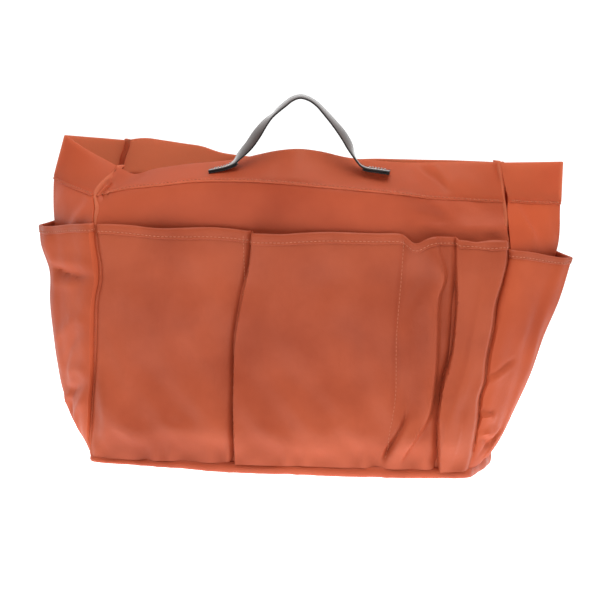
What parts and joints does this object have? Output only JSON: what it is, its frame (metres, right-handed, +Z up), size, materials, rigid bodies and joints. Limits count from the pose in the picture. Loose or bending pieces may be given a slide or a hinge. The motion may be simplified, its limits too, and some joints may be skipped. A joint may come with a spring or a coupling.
{
  "type": "handbag organiser insert",
  "caption": "Soft open-topped organiser bag for standing inside a handbag, with folding end gussets, pockets all round and short strap handles.",
  "frame": {"origin": "centre of the base's underside, on the surface that the bag stands on", "axes": "+X along the width towards the right side pocket, +Y towards the back, +Z up"},
  "size_m": [0.3707, 0.1173, 0.255],
  "materials": {
    "shell_nylon": "plain-weave nylon, satin",
    "pocket_nylon": "plain-weave nylon, satin",
    "band_nylon": "folded nylon hem, satin",
    "binding_tape": "woven nylon tape",
    "strap_leather": "glossy coated leather"
  },
  "bodies": {
    "bag": {"base_panel": "shell_nylon", "base_seam_binding": "binding_tape", "front_panel": "shell_nylon", "front_top_band": "band_nylon", "front_pocket_strip": "pocket_nylon", "front_pocket_binding": "band_nylon", "back_panel": "shell_nylon", "back_top_band": "band_nylon", "back_pocket_strip": "pocket_nylon", "back_pocket_binding": "band_nylon", "left_gusset": "shell_nylon", "left_top_band": "band_nylon", "left_side_pocket": "pocket_nylon", "left_pocket_binding": "band_nylon", "right_gusset": "shell_nylon", "right_top_band": "band_nylon", "right_side_pocket": "pocket_nylon", "right_pocket_binding": "band_nylon", "front_left_seam_binding": "binding_tape", "front_right_seam_binding": "binding_tape", "front_handle_left_end": "strap_leather", "front_handle_right_end": "strap_leather", "back_left_seam_binding": "binding_tape", "back_right_seam_binding": "binding_tape", "back_handle_left_end": "strap_leather", "back_handle_right_end": "strap_leather"},
    "front_handle": {"front_handle_strap": "strap_leather"},
    "back_handle": {"back_handle_strap": "strap_leather"}
  },
  "joints": [
    {"name": "front_handle_hinge", "type": "hinge", "parent": "bag", "child": "front_handle", "pos_m": [0.006, -0.027, 0.207], "axis": [1, 0, 0], "range_deg": [-30, 125]},
    {"name": "back_handle_hinge", "type": "hinge", "parent": "bag", "child": "back_handle", "pos_m": [0.006, 0.038, 0.198], "axis": [1, 0, 0], "range_deg": [0, 165]}
  ]
}
